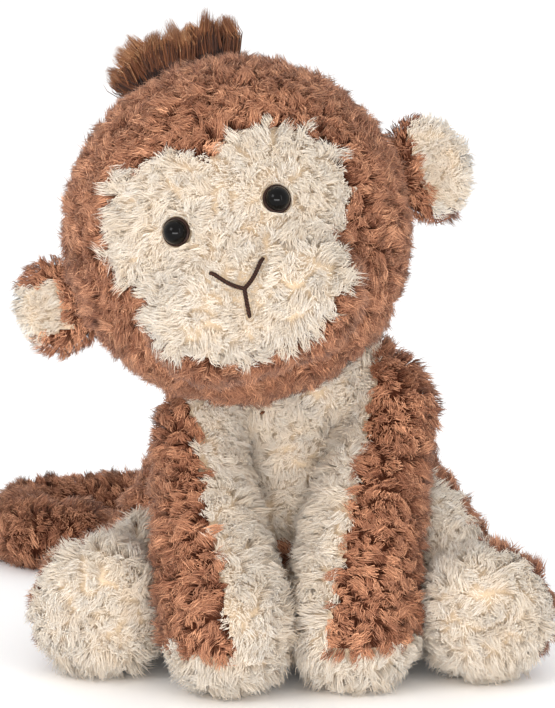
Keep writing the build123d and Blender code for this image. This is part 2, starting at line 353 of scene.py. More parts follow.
def ramp(tree, source, stops):
    made = node(tree, "ShaderNodeValToRGB")
    points = made.color_ramp.elements
    while len(points) < len(stops):
        points.new(0.5)
    for point, (place, colour) in zip(points, stops):
        point.position = place
        point.color = colour
    tree.links.new(source, made.inputs["Fac"])
    return made


def grey(v):
    return (v, v, v, 1.0)


def strand_material(name, colour, sheen, glow):
    """One shade of hair: matt, with light that goes through it more in some patches, up to glow."""
    made, tree, shader = material(name)
    shader.inputs["Base Color"].default_value = linear(colour)
    shader.inputs["Roughness"].default_value = 0.65
    shader.inputs["Specular IOR Level"].default_value = 0.25
    shader.inputs["Sheen Weight"].default_value = sheen
    shader.inputs["Sheen Roughness"].default_value = 0.5
    shader.inputs["Subsurface Radius"].default_value = (1.0, 0.8, 0.6)
    shader.inputs["Subsurface Scale"].default_value = 0.005
    patches = noise(tree, 120)
    through = ramp(tree, patches.outputs["Fac"], [(0.35, grey(glow * 0.6)), (0.65, grey(glow))])
    tree.links.new(through.outputs["Color"], shader.inputs["Subsurface Weight"])
    return made


def cloth_material(name, dark, light):
    """The knitted backing, seen between the roots of the hair, with colours set darker than the hair as
    painted shade down among the roots.
    """
    made, tree, shader = material(name)
    patches = noise(tree, 180, 4.0)
    tint = ramp(tree, patches.outputs["Fac"], [(0.3, linear(dark)), (0.7, linear(light))])
    tree.links.new(tint.outputs["Color"], shader.inputs["Base Color"])
    where = node(tree, "ShaderNodeTexCoord")
    knit = node(tree, "ShaderNodeTexVoronoi", Scale=1100.0)
    tree.links.new(where.outputs["Object"], knit.inputs["Vector"])
    bump = node(tree, "ShaderNodeBump", Strength=0.6, Distance=0.0004)
    tree.links.new(knit.outputs["Distance"], bump.inputs["Height"])
    tree.links.new(bump.outputs["Normal"], shader.inputs["Normal"])
    shader.inputs["Roughness"].default_value = 0.95
    shader.inputs["Specular IOR Level"].default_value = 0.1
    return made


def fibre_material(name, dark, light, scale):
    """Loose or woven fibre: fine tangled marks in colour and height."""
    made, tree, shader = material(name)
    marks = noise(tree, scale, 8.0)
    tint = ramp(tree, marks.outputs["Fac"], [(0.35, linear(dark)), (0.65, linear(light))])
    tree.links.new(tint.outputs["Color"], shader.inputs["Base Color"])
    bump = node(tree, "ShaderNodeBump", Strength=0.7, Distance=0.0006)
    tree.links.new(marks.outputs["Fac"], bump.inputs["Height"])
    tree.links.new(bump.outputs["Normal"], shader.inputs["Normal"])
    shader.inputs["Roughness"].default_value = 0.9
    return made


def shades(name, dark, light, count, sheen, glow):
    """Shades of one hair colour from dark to light."""
    steps = np.linspace(0, 1, count)[:, None]
    colours = np.array(dark) * (1 - steps) + np.array(light) * steps
    return [strand_material(f"{name}_{i}", c, sheen, glow) for i, c in enumerate(colours)]


# The cloth of each coat is darker than its hair: painted shade down among the roots
COATS = {
    "brown_plush": {
        "hair": shades("brown_hair", (108, 58, 37), (238, 174, 132), 6, 0.08, 0.05),
        "cloth": cloth_material("brown_backing_painted_shade", (62, 32, 20), (90, 50, 33)),
        "tight": 0.35,
    },
    "cream_plush": {
        "hair": shades("cream_hair", (236, 211, 180), (250, 236, 216), 5, 0.1, 0.5),
        "cloth": cloth_material("cream_backing_painted_shade", (208, 184, 154), (226, 204, 176)),
        "tight": 0.22,
    },
}


FILLING = fibre_material("filling_fibre", (222, 221, 216), (248, 247, 244), 700)

# ---------------------------------------------------------------- plush bodies

def nearest(seeds, points):
    tree = kdtree.KDTree(len(seeds))
    for i, seed in enumerate(seeds):
        tree.insert(seed, i)
    tree.balance()
    return np.array([tree.find(p)[1] for p in points])


def scatter(points, quads, density):
    """Random points on the mesh, so many per square millimetre."""
    triangles = np.concatenate([quads[:, [0, 1, 2]], quads[:, [0, 2, 3]]])
    a, b, c = (points[triangles[:, i]] for i in range(3))
    area = np.linalg.norm(np.cross(b - a, c - a), axis=1) / 2
    chosen = rng.choice(len(triangles), int(area.sum() * density), p=area / area.sum())
    u, v = rng.random((2, len(chosen)))
    over = u + v > 1
    u[over], v[over] = 1 - u[over], 1 - v[over]
    return a[chosen] + u[:, None] * (b - a)[chosen] + v[:, None] * (c - a)[chosen]


DOWN = np.array([0.0, 0.0, -1.0])


def comb_down(p):
    return np.tile(DOWN, (len(p), 1))


def tangent(direction, outward):
    flat = direction - (direction * outward).sum(1, keepdims=True) * outward
    return unit(flat + 1e-6)


def drift(p, size, seed):
    """A direction that wanders smoothly from place to place, over about this size."""
    own = np.random.default_rng(seed)
    waves = own.normal(size=(3, 4, 3)) * (2 * pi / size) * 0.5
    phases = own.uniform(0, 2 * pi, (3, 4))
    return np.stack([np.sin(p @ waves[i].T + phases[i]).sum(1) for i in range(3)], 1)


def coat(shape, points, quads, length, spacing, comb, wild, buried, pick, tightness):
    """The hair of one body: each strand's line, radius, outward direction, panel, and shade from 0 to 1."""
    roots = scatter(points, quads, DENSITY)
    roots = roots[~buried(roots)]
    seeds = scatter(points, quads, 1 / spacing ** 2)
    seeds = seeds[~buried(seeds)]
    lock = nearest(seeds, roots)
    seed_out = slope(shape, seeds)[1]
    count = len(seeds)
    own = tangent(drift(seeds, FLOW, 7) * 0.6 + rng.normal(size=(count, 3)) * LOCK_TURN, seed_out)
    lean = tangent(comb(seeds), seed_out) * (1 - wild) + own * wild
    lean = unit(lean + 1e-6)
    reach = rng.uniform(*LOCK_REACH, count)[:, None]
    stretch = rng.uniform(*LOCK_STRETCH, count)[:, None] * length
    rise = rng.uniform(*LOCK_RISE, count)[:, None]
    lock_tip = seeds + (seed_out * rise + lean * reach) * stretch
    curl = rng.uniform(-LOCK_CURL, LOCK_CURL, count)[:, None] * np.cross(seed_out, lean)
    tone = np.clip(rng.normal(0.52, 0.13, count), 0, 1)
    seed_side = pick(seeds, seed_out)
    tight = rng.uniform(0.5, 1.5, count)[:, None] * np.array(tightness)[seed_side][:, None]

    n = len(roots)
    outward = slope(shape, roots)[1]
    share = rng.uniform(*STRAND_SHARE, n)[:, None]
    stray = rng.normal(size=(n, 3)) * STRAND_STRAY
    gather = tight[lock] * rng.uniform(0.6, 1.25, n)[:, None]
    way = outward * rise[lock] + lean[lock] * reach[lock]
    free_tip = roots + way * stretch[lock] * share + stray
    tip = free_tip * (1 - gather) + (lock_tip[lock] + stray) * gather
    wave = curl[lock] + rng.normal(size=(n, 3)) * STRAND_WAVE
    middle = roots + (tip - roots) * BEND_PLACE + outward * BEND_LIFT * length * share + wave
    line = np.stack([roots, middle, tip], 1)
    line[:, :, 2] = np.maximum(line[:, :, 2], LOWEST)
    radii = rng.uniform(0.75, 1.2, n)[:, None] * STRAND
    shade = np.clip(tone[lock] + rng.normal(0, 0.16, n), 0, 1)
    return line, radii, outward, seed_side[lock], shade


def plush_body(body, shape, low, high, panels, pick, buried, core_node=None, length=FUR_LENGTH,
               spacing=LOCK_SPACING, comb=comb_down, wild=0.65, edit=None):
    """The cloth, fur and filling of one body.

    panels are (node, coat) in the order that pick(points, outward) numbers. core_node is the CAD
    filling that the body's own filling replaces.
    """
    points, quads = net(shape, low, high, NET)
    middle = points[quads].mean(1)
    side = pick(middle, slope(shape, middle)[1])
    if core_node is not None:
        core_points, core_quads = net(lambda p: shape(p) + FILLING_GAP, low, high, 2 * NET)
        core = mesh_object(f"{body}_filling", core_points, core_quads, [FILLING])
        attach(core, body)
        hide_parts(core_node)
    tightness = [COATS[kind]["tight"] for _, kind in panels]
    hairs = coat(shape, points, quads, length, spacing, comb, wild, buried, pick, tightness)
    if edit is not None:
        line, keep = edit(hairs[0])
        hairs = [values[keep] for values in (line, *hairs[1:])]
    line, radii, outward, strand_side, shade = hairs
    for i, (name, kind) in enumerate(panels):
        used, again = np.unique(quads[side == i], return_inverse=True)
        cloth = mesh_object(f"{name}_cloth", points[used], again.reshape(-1, 4), [COATS[kind]["cloth"]])
        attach(cloth, body)
        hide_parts(name)
        own = strand_side == i
        hair = COATS[kind]["hair"]
        p, faces, place, normals = strand_mesh(line[own], radii[own], outward[own])
        each = len(faces) // max(1, own.sum())
        # painted shade: the root part of each strand is made darker than the rest of it
        face_shade = shade[own].repeat(each) - ROOT_PAINTED_SHADE * (place < ROOT_PART)
        slots = np.clip(np.round(face_shade * (len(hair) - 1)), 0, len(hair) - 1)
        fur = mesh_object(f"{name}_fur", p, faces, hair, slots, normals)
        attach(fur, body)


# Torso: a seat, a chest, a yoke between the shoulders, and the haunch on the right
SEAT_HEIGHT = 30.0
CHEST = (0, -1, 62.0)
YOKE_INWARD = np.array([0.6, 0.4, 1])  # from a shoulder's pivot to the end of the yoke
YOKE_LIFT = {"right": 14, "left": 9}
HAUNCH = [(-34, 6, 66), (-46, 6, 40)]
TORSO_ROOM = 26  # how far the haunch may reach past the CAD panels
torso_low, torso_high = corners("body_panel_left", "body_panel_right", "belly_panel")
torso_radius = torso_high[0] - BACKING
neck = pivot("neck_tilt")
yoke_ends = [pivot(f"shoulder_{side}") * YOKE_INWARD + [0, 0, YOKE_LIFT[side]] for side in ("right", "left")]
torso_shape = melt(ball((0, 0, SEAT_HEIGHT), torso_radius), capsule(CHEST, neck + [0, 0, 8], 25, 17), 14)
torso_shape = melt(torso_shape, capsule(*yoke_ends, 14, 16), 12)
torso_shape = melt(torso_shape, capsule(*HAUNCH, 16, 19), 12)
torso_shape = rested(lumpy(torso_shape, 45, 1.2, 1), FLOOR_GAP, 5)
BELLY_HALF_WIDTH = 30.0
BELLY_FOOT = 46.0

# Head
MUZZLE = np.array([0.0, -45.0, -29.0])
MUZZLE_RADIUS = 22.0
CHEEK = np.array([14.0, 0, 0])
HEAD_SETTLE = np.array([1.3, 0, -0.8])  # how far the soft head has sunk on its neck
HEAD_CLOTH = 1.7  # from the CAD head's radius in to the cloth, which is less than on other bodies
head_shape = melt(
    ball(head_centre + HEAD_SETTLE, HEAD_RADIUS - HEAD_CLOTH),
    capsule(from_head(MUZZLE - CHEEK), from_head(MUZZLE + CHEEK), MUZZLE_RADIUS, MUZZLE_RADIUS), 7)
head_shape = lumpy(head_shape, 50, 1.0, 2)
MASK_LOBES = [(-18.0, 4.0), (18.5, 4.0)]  # across and up, in the head's axes
MASK_RADIUS = 25.5
MUZZLE_PATCH = (-0.8, -26.5, 35.5, 22.0)  # its middle across and up, and its half width and half height


def limb(side):
    return {"left": 1.0, "right": -1.0}[side]


def hand_middle(side):
    low, high = corners(f"hand_{side}")
    radius = (high[0] - low[0]) / 2
    return np.array([(low[0] + high[0]) / 2, low[1] + radius, low[2] + radius])


# Each limb is a little different, as the toy is sewn and stuffed by hand
TOP_RADIUS, HAND_RADIUS, SHOULDER_RADIUS = 12.5, 21.0, 10
TOP_SHIFT = {"right": np.array([1.5, 0, 0]), "left": np.zeros(3)}
ELBOW_SHIFT = {"right": -1.0, "left": -3.0}
ELBOW_RADIUS = {"right": 17.5, "left": 18.5}
ARM_SEAM = {"right": 2.16, "left": 9.0}  # from the arm's line inward to the seam between brown and cream
THIGH_SHIFT = {"right": np.array([4.0, -4, 10]), "left": np.array([-12.0, -6, 30])}  # from the hip
SOLE_SPREAD = {"right": 2.0, "left": 1.2}
TOE_REACH = 17.0  # from the foot's middle to the sole

arm_shapes, leg_shapes, arm_lines, leg_lines = {}, {}, {}, {}
for side in ("right", "left"):
    shoulder = pivot(f"shoulder_{side}")
    hand = hand_middle(side)
    arm_lines[side] = (shoulder, hand)
    top = shoulder + TOP_SHIFT[side]
    elbow = shoulder * 0.4 + hand * 0.6 + [ELBOW_SHIFT[side], -3, 1]
    palm = hand + [0, -4, 0]
    arm = chain([top, elbow, palm], [TOP_RADIUS, ELBOW_RADIUS[side], HAND_RADIUS])
    shape = melt(arm, ball(top + [-5 * limb(side), 4, 9], SHOULDER_RADIUS), 12)
    arm_shapes[side] = rested(lumpy(shape, 30, 1.0, 3), FLOOR_GAP, 4)

    hip = pivot(f"hip_{side}")
    sole_low, sole_high = corners(f"foot_{side}_sole")
    sole_radius = (sole_high[2] - sole_low[2]) / 2 + 1
    foot_x = sole_high[0] - sole_radius if side == "left" else sole_low[0] + sole_radius
    foot = np.array([foot_x, sole_low[1] + 0.75 * sole_radius, sole_radius])
    leg_lines[side] = (hip, foot)
    forward = unit(foot - hip)
    toe = foot + forward * TOE_REACH + [-2.0 * limb(side), -2.0, -2.0]
    ahead = unit(forward + [0, -0.7, 0])
    thigh = hip + THIGH_SHIFT[side]
    sole = puck(toe, ahead, sole_radius - BACKING + SOLE_SPREAD[side], 30, 15)
    seat = capsule(hip + [2 * limb(side), 0, -2], foot - forward * 12, 18.0, 16.0)
    shape = melt(melt(capsule(thigh, foot - forward * 6, 17.0, 12.5), seat, 8), sole, 6)
    leg_shapes[side] = rested(lumpy(shape, 30, 1.0, 4), FLOOR_GAP, 4)


def inside_torso(p):
    return torso_shape(p) < -HIDDEN_DEPTH


def inside_limbs(p):
    shapes = list(arm_shapes.values()) + list(leg_shapes.values())
    return np.min([s(p) for s in shapes], 0) < -HIDDEN_DEPTH


def pick_torso(p, outward):
    front = (np.abs(p[:, 0]) < BELLY_HALF_WIDTH) & (p[:, 1] < -2) & (p[:, 2] > BELLY_FOOT)
    return np.where(front, 2, np.where(p[:, 0] > 0, 0, 1))


plush_body("torso", torso_shape, torso_low - [TORSO_ROOM, 0, 0], torso_high + [TORSO_ROOM, 0, 15],
           [("body_panel_left", "brown_plush"), ("body_panel_right", "brown_plush"),
            ("belly_panel", "cream_plush")],
           pick_torso, lambda p: inside_limbs(p) | (head_shape(p) < -2), core_node="body_stuffing")


def pick_head(p, outward):
    q = to_head(p)
    mask = np.min([np.hypot(q[:, 0] - x, q[:, 2] - z) for x, z in MASK_LOBES], 0) < MASK_RADIUS
    x, z, wide, tall = MUZZLE_PATCH
    muzzle = ((q[:, 0] - x) / wide) ** 2 + ((q[:, 2] - z) / tall) ** 2 < 1
    brown = np.where(q[:, 0] > 0, 0, 1)
    return np.where((q[:, 1] < 0) & muzzle, 3, np.where((q[:, 1] < 0) & mask, 2, brown))


# Eyes, each on its own axis out from the middle of the head
EYE_RADIUS = 5.3
EYE_SEAT = 2.4  # from the cloth out to the underside of the rim
EYE_ROOM = 0.6  # hair stands off the rim by this
EYE_LOWER = 0.9  # each eye sits this much lower on the soft face
EYE_NEARER = 1.9  # and this much nearer its middle
eye_place = {}
for side in ("left", "right"):
    spots = np.array([v.co for v in frame["nodes"][f"eye_{side}"].data.vertices]) / MM
    peak = spots[np.argmax(np.linalg.norm(spots - head_centre, axis=1))]
    out = unit(peak - head_centre)
    nearer = peak + HEAD_SETTLE - EYE_NEARER * limb(side) * head_x - EYE_LOWER * head_z
    eye_place[side] = (settle(head_shape, nearer[None], 6)[0] + EYE_SEAT * out, out)

# Mouth: three stitches in a Y, in the head's own axes
MOUTH = np.array([-1.8, -70.6, -24.3])
MOUTH_ENDS = np.array([[-12.0, -66.4, -15.4], [8.0, -66.4, -16.2], [-3.2, -71.0, -34.8]])
MOUTH_GROOVE = 1.7  # half the width of the parting in the fur
MOUTH_BED = 6.0  # hair is pressed down this near to the thread


def clear_of_features(line):
    """Hair kept off the eyes and the mouth."""
    keep = np.ones(len(line), bool)
    for place, out in eye_place.values():
        q = line - place
        depth = q @ out
        off = q - depth[..., None] * out
        away = np.linalg.norm(off, axis=2)
        near = (away[:, :1] < EYE_RADIUS + 4) & (depth[:, :1] > -9) & (depth[:, :1] < 4)
        line = np.where(near[..., None], line[:, :1] + (line - line[:, :1]) * 0.72, line)
        q = line - place
        depth = q @ out
        off = q - depth[..., None] * out
        away = np.linalg.norm(off, axis=2)
        over = (away < EYE_RADIUS + EYE_ROOM) & (depth > -9)
        keep &= ~(over[:, 0] & (away[:, 0] < EYE_RADIUS - 1))
        push = np.where(over, (EYE_RADIUS + EYE_ROOM) / np.maximum(away, 0.1), 1.0)
        line = line + (push[..., None] - 1) * off
    for end in MOUTH_ENDS:
        run = (end - MOUTH)[[0, 2]]

        def from_thread(p):
            q = to_head(p.reshape(-1, 3) - HEAD_SETTLE)
            t = np.clip((q[:, [0, 2]] - MOUTH[[0, 2]]) @ run / (run @ run), 0, 1)
            off = q[:, [0, 2]] - MOUTH[[0, 2]] - t[:, None] * run
            return q, off, np.linalg.norm(off, axis=1)

        q, off, away = from_thread(line[:, 0])
        near = (away < MOUTH_BED) & (q[:, 1] < 0)
        line = np.where(near[:, None, None], line[:, :1] + (line - line[:, :1]) * 0.62, line)
        q, off, away = from_thread(line)
        under = (away < MOUTH_GROOVE) & (q[:, 1] < 0)
        push = np.where(under, MOUTH_GROOVE / np.maximum(away, 0.05), 1.0) - 1
        q[:, 0] += push * off[:, 0]
        q[:, 2] += push * off[:, 1]
        line = (from_head(q) + HEAD_SETTLE).reshape(line.shape)
    return line, keep


HEAD_ROOM = 5
MUZZLE_ROOM = 12  # how far the muzzle may reach ahead of the head's ball
head_low = head_centre - HEAD_RADIUS - HEAD_ROOM
head_high = head_centre + HEAD_RADIUS + HEAD_ROOM
head_low[1] -= MUZZLE_ROOM
plush_body("head", head_shape, head_low, head_high,
           [("head_panel_left", "brown_plush"), ("head_panel_right", "brown_plush"),
            ("face_panel", "cream_plush"), ("muzzle_panel", "cream_plush")],
           pick_head, lambda p: torso_shape(p) < -4, core_node="head_stuffing", edit=clear_of_features,
           wild=0.7)

# Arms
HAND_TOP = 20
for side in ("right", "left"):
    a, b = arm_lines[side]
    low, high = corners(f"arm_{side}_outer", f"arm_{side}_inner", f"hand_{side}")
    down_arm = unit(b - a)
    inward = unit(np.cross(down_arm, [0, 1, 0])) * -limb(side)
    inward = inward * (-1 if inward[0] * limb(side) > 0 else 1)

    def pick_arm(p, outward, a=a, inward=inward, seam=ARM_SEAM[side], down_arm=down_arm):
        run = (p - a) @ down_arm
        spot = p - a - run[:, None] * down_arm
        inner = (spot @ inward) > seam
        return np.where(p[:, 2] < HAND_TOP, 2, np.where(inner, 1, 0))

    def arm_comb(p, down_arm=down_arm):
        return np.tile(down_arm, (len(p), 1))

    plush_body(f"arm_{side}", arm_shapes[side], low - 4, high + [4, 4, 12],
               [(f"arm_{side}_outer", "brown_plush"), (f"arm_{side}_inner", "cream_plush"),
                (f"hand_{side}", "cream_plush")],
               pick_arm, lambda p: inside_torso(p) | (head_shape(p) < -2),
               core_node=f"arm_{side}_stuffing", comb=arm_comb, wild=0.55)

# Legs
for side in ("right", "left"):
    hip, foot = leg_lines[side]
    low, high = corners(f"leg_{side}_outer", f"leg_{side}_inner", f"foot_{side}_sole")
    forward = unit(foot - hip)
    outer = unit(np.array([limb(side), 0.8, 0.1]))

    def pick_leg(p, outward, foot=foot, forward=forward, outer=outer):
        sole = (outward @ forward > 0.4) & ((p - foot) @ forward > 2)
        brown = outward @ outer > 0.35
        return np.where(sole, 2, np.where(brown, 0, 1))

    def leg_comb(p, forward=forward):
        return np.tile(forward + DOWN, (len(p), 1))

    plush_body(f"leg_{side}", leg_shapes[side], low - 4, high + [4, 4, 24],
               [(f"leg_{side}_outer", "brown_plush"), (f"leg_{side}_inner", "cream_plush"),
                (f"foot_{side}_sole", "cream_plush")],
               pick_leg, inside_torso, core_node=f"leg_{side}_stuffing", comb=leg_comb)

# Tail: a bent rod on the floor, its corners cut again and again until they are round
TAIL_RADIUS = 14.0
TAIL_CLOTH = TAIL_RADIUS - BACKING + 2.5
TAIL_HEIGHT = TAIL_CLOTH + FLOOR_GAP + 1
HOOK_BACK, HOOK_IN = 50, 28  # how far the hook comes forward, and then in
tail_low, tail_high = corners("tail_cover")
root = pivot("tail_swing")
far_x, far_y = tail_low[0] + TAIL_RADIUS, tail_high[1] - TAIL_RADIUS
route = np.array([root, [-8, far_y, root[2]], [far_x, far_y, root[2]], [far_x, far_y - HOOK_BACK, root[2]],
                  [far_x + HOOK_IN, far_y - HOOK_BACK, root[2]]], float)
for _ in range(4):
    cut_corners = np.stack([route[:-1] * 0.75 + route[1:] * 0.25, route[:-1] * 0.25 + route[1:] * 0.75], 1)
    route = np.concatenate([route[[0]], cut_corners.reshape(-1, 3), route[[-1]]])
route[:, 2] = TAIL_HEIGHT
tail_shape = rested(lumpy(chain(route, [TAIL_CLOTH] * len(route)), 25, 0.8, 5), FLOOR_GAP, 3)


def tail_comb(p):
    near_point = nearest(route, p)
    ahead = np.minimum(near_point + 1, len(route) - 1)
    behind = np.maximum(near_point - 1, 0)
    return unit(route[ahead] - route[behind])


plush_body("tail", tail_shape, tail_low, tail_high, [("tail_cover", "brown_plush")],
           lambda p, outward: np.zeros(len(p), int), inside_torso, core_node="tail_stuffing",
           comb=tail_comb, wild=0.5)

# Ears: a flat disc with a bowl pressed into its front. The left one is larger and set higher
EAR_OUT = {"right": 9.5, "left": 13.0}
EAR_UP = {"right": -1.0, "left": 5.0}
EAR_TALL = {"right": 16.0, "left": 18.0}
EAR_PATCH = {"right": 9.5, "left": 16.0}  # half the height of the cream front
for side in ("right", "left"):
    s = limb(side)
    hinge = pivot(f"ear_{side}_flop")
    low, high = corners(f"ear_{side}_front", f"ear_{side}_back")
    centre = hinge + EAR_OUT[side] * s * head_x + EAR_UP[side] * head_z
    disc = pillow(centre, head_axes, (13.5, 5.5, EAR_TALL[side]))
    bowl = pillow(centre - 8.0 * head_y + 3 * s * head_x, head_axes, (11, 6.5, 10))
    ear_root = capsule(hinge - 4 * s * head_x, centre, 5, 6)
    ear_shape = carve(melt(disc, ear_root, 5), bowl, 2)

    def pick_ear(p, outward, centre=centre, s=s, half=EAR_PATCH[side]):
        q = (p - centre) @ head_axes.T
        facing = (outward @ head_y < 0.1) | (q[:, 0] * s > 6)
        front = facing & (np.abs(q[:, 2]) < half) & (q[:, 0] * s > -3)
        return np.where(front, 0, 1)

    def ear_comb(p, centre=centre, s=s):
        return p - (centre - 14 * s * head_x)

    plush_body(f"ear_{side}", ear_shape, low - 3, high + 3,
               [(f"ear_{side}_front", "cream_plush"), (f"ear_{side}_back", "brown_plush")],
               pick_ear, lambda p: head_shape(p) < -1, length=6.0, spacing=3.4, comb=ear_comb, wild=0.25)

# ---------------------------------------------------------------- eyes, mouth, tuft and small pieces

def ring_quads(rings, sides):
    """The quads between one ring of points and the next."""
    quads = []
    for i in range(rings - 1):
        for k in range(sides):
            n = (k + 1) % sides
            quads.append((i * sides + k, i * sides + n, (i + 1) * sides + n, (i + 1) * sides + k))
    return np.array(quads)


def lathe(profile, place, out, sides):
    """Points and quads of a profile of radius and height, turned about the line out from the place."""
    u = unit(np.cross(out, head_z))
    v = np.cross(out, u)
    turns = np.arange(sides) * 2 * pi / sides
    circle = np.cos(turns)[:, None] * u + np.sin(turns)[:, None] * v
    rows = [place + h * out + r * circle for r, h in profile]
    return np.concatenate(rows), ring_quads(len(profile), sides)


def gloss_material(name, dark, light, scale, rough):
    made, tree, shader = material(name)
    marks = noise(tree, scale, 5.0)
    tint = ramp(tree, marks.outputs["Fac"], [(0.3, linear(dark)), (0.7, linear(light))])
    tree.links.new(tint.outputs["Color"], shader.inputs["Base Color"])
    polish = ramp(tree, marks.outputs["Fac"], [(0.3, grey(rough)), (0.8, grey(rough * 1.8))])
    tree.links.new(polish.outputs["Color"], shader.inputs["Roughness"])
    shader.inputs["Specular IOR Level"].default_value = 0.14
    return made


eye_black = gloss_material("eye_black", (3, 2, 2), (8, 6, 5), 300, 0.05)
eye_brown = gloss_material("eye_rim_brown", (34, 20, 15), (50, 30, 22), 500, 0.2)
EYE_SIDES = 48
PUPIL_RADIUS = 4.45
DOME_HEIGHT = 4.3
DOME_FOOT = 1.3
EYE_RIM = [(4.5, 1.05), (4.75, 1.2), (5.05, 1.1), (5.25, 0.8), (5.3, 0.45), (5.2, 0.1), (4.9, 0.0)]
EYE_SHANK = [(1.9, 0.0), (1.8, -0.3), (1.8, -9.7), (1.5, -10.0), (0.02, -10.0)]
for side, (place, out) in eye_place.items():
    lifts = np.linspace(0, pi / 2, 15)[::-1]
    profile = [(0.02 + PUPIL_RADIUS * cos(a), DOME_FOOT + DOME_HEIGHT * sin(a)) for a in lifts]
    dome_rings = len(profile)
    profile += EYE_RIM + EYE_SHANK
    points, quads = lathe(profile, place, out, EYE_SIDES)
    slots = (np.arange(len(quads)) // EYE_SIDES >= dome_rings - 1).astype(int)
    eye = mesh_object(f"eye_{side}_button", points, quads, [eye_black, eye_brown], slots)
    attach(eye, "head")
    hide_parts(f"eye_{side}")


def tube(path, radius, sides=8):
    """Points and quads of a closed tube along the path."""
    path = np.asarray(path, float)
    ahead = unit(np.gradient(path, axis=0))
    u = unit(np.cross(ahead, head_z + 0.01))
    v = np.cross(ahead, u)
    radii = np.full(len(path), radius)
    radii[[0, -1]] = 0.02
    turns = np.arange(sides) * 2 * pi / sides
    ring = np.cos(turns)[None, :, None] * u[:, None] + np.sin(turns)[None, :, None] * v[:, None]
    points = path[:, None] + radii[:, None, None] * ring
    return points.reshape(-1, 3), ring_quads(len(path), sides)


def together(parts):
    """Several meshes as one."""
    points, faces, start = [], [], 0
    for p, f in parts:
        points.append(p)
        faces.append(f + start)
        start += len(p)
    return np.concatenate(points), np.concatenate(faces)


def thread_material(name, dark, light):
    """Twisted thread: fine bands of shade with a dull sheen."""
    made, tree, shader = material(name)
    where = node(tree, "ShaderNodeTexCoord")
    twist = node(tree, "ShaderNodeTexWave", {"bands_direction": "DIAGONAL"}, Scale=520.0, Distortion=2.5,
                 Detail=2.0)
    tree.links.new(where.outputs["Object"], twist.inputs["Vector"])
    tint = ramp(tree, twist.outputs["Fac"], [(0.1, linear(dark)), (0.9, linear(light))])
    tree.links.new(tint.outputs["Color"], shader.inputs["Base Color"])
    bump = node(tree, "ShaderNodeBump", Strength=0.5, Distance=0.0002)
    tree.links.new(twist.outputs["Fac"], bump.inputs["Height"])
    tree.links.new(bump.outputs["Normal"], shader.inputs["Normal"])
    shader.inputs["Roughness"].default_value = 0.7
    shader.inputs["Specular IOR Level"].default_value = 0.2
    return made


PLIES = 3
PLY_RADIUS = 0.45
PLY_TURN = 0.42  # from the middle of the thread to the middle of a ply
PLY_PITCH = 3.2  # length of one full twist
STITCH_BOW = np.array([0.0, 0, -1.2])  # how far the two upper stitches sag
THREAD_LIFT = 5.0  # from the cloth out to the middle of the thread
mouth_thread = thread_material("mouth_thread", (26, 14, 9), (64, 37, 26))
plies = []
for end in MOUTH_ENDS:
    t = np.linspace(-0.05, 1, 40)[:, None]
    bow = STITCH_BOW * np.sin(pi * np.clip(t, 0, 1)) * (abs(end[0] - MOUTH[0]) > 4)
    spots = from_head(MOUTH + (end - MOUTH) * t + bow) + HEAD_SETTLE
    spots = settle(head_shape, spots, 8)
    out = slope(head_shape, spots)[1]
    dip = 1 - 0.4 * np.clip((t - 0.8) / 0.2, 0, 1) ** 2
    middle = spots + out * THREAD_LIFT * dip
    ahead = unit(np.gradient(middle, axis=0))
    across = np.cross(ahead, out)
    run = np.linalg.norm(end - MOUTH) * t
    for k in range(PLIES):
        a = 2 * pi * (run / PLY_PITCH + k / PLIES)
        plies.append(tube(middle + PLY_TURN * (np.cos(a) * across + np.sin(a) * out), PLY_RADIUS))
points, quads = together(plies)
mouth = mesh_object("mouth_stitches", points, quads, [mouth_thread])
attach(mouth, "head")
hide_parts("mouth_stitching")

# Tuft: straight hair in pointed clumps, fanned across the crown
TUFT_HALF_ANGLE = radians(16.5)
TUFT_MIDDLE = radians(-1.2)
TUFT_HAIRS = 5200
TUFT_CLUMPS = 32
TUFT_ROOT = HEAD_RADIUS - 3
TUFT_LENGTH = 24.0
TUFT_STRAND = 0.2
# painted shade and highlight: the tuft's strands run from a dark root to a light tip
TUFT_PAINTED_LIGHT = 5.2
tuft_shades = [strand_material(f"tuft_hair_{i}", c, 0.05, 0.05) for i, c in enumerate(
    [(52, 26, 14), (90, 47, 24), (130, 72, 38), (166, 100, 57), (196, 134, 84), (222, 168, 120)])]


def tuft_way(angle, tip_angle, depth, length, droop):
    """A point up the fan: angle across the crown, depth to the back, and length out from the root."""
    base = np.stack([TUFT_ROOT * np.sin(angle), depth, TUFT_ROOT * np.cos(angle)], 1)
    way = np.stack([np.sin(tip_angle), depth * 0.03, np.cos(tip_angle)], 1)
    return base, base + way * length[:, None] + droop[:, None] * np.array([-0.3, 0, -1.0])


clump_angle = TUFT_MIDDLE + np.linspace(-1, 1, TUFT_CLUMPS) * TUFT_HALF_ANGLE
clump_angle = clump_angle + rng.normal(0, 0.02, TUFT_CLUMPS)
clump_depth = rng.uniform(-4.0, 4.0, TUFT_CLUMPS)
clump_place = (clump_angle - TUFT_MIDDLE) / TUFT_HALF_ANGLE
clump_lean = 0.12 + 0.2 * clump_place - 0.6 * np.clip(-clump_place - 0.45, 0, 1)
clump_lean = clump_lean + rng.normal(0, 0.15, TUFT_CLUMPS)
clump_length = TUFT_LENGTH * rng.uniform(0.76, 1.08, TUFT_CLUMPS)
clump_droop = 5.0 * np.clip(-clump_place - 0.5, 0, 1)
clump = rng.integers(0, TUFT_CLUMPS, TUFT_HAIRS)
angle = clump_angle[clump] + rng.normal(0, 0.03, TUFT_HAIRS)
depth = np.clip(clump_depth[clump] + rng.normal(0, 1.2, TUFT_HAIRS), -5, 5)
share = rng.uniform(0.6, 1.0, TUFT_HAIRS)
hair_lean = clump_lean[clump] + rng.normal(0, 0.08, TUFT_HAIRS)
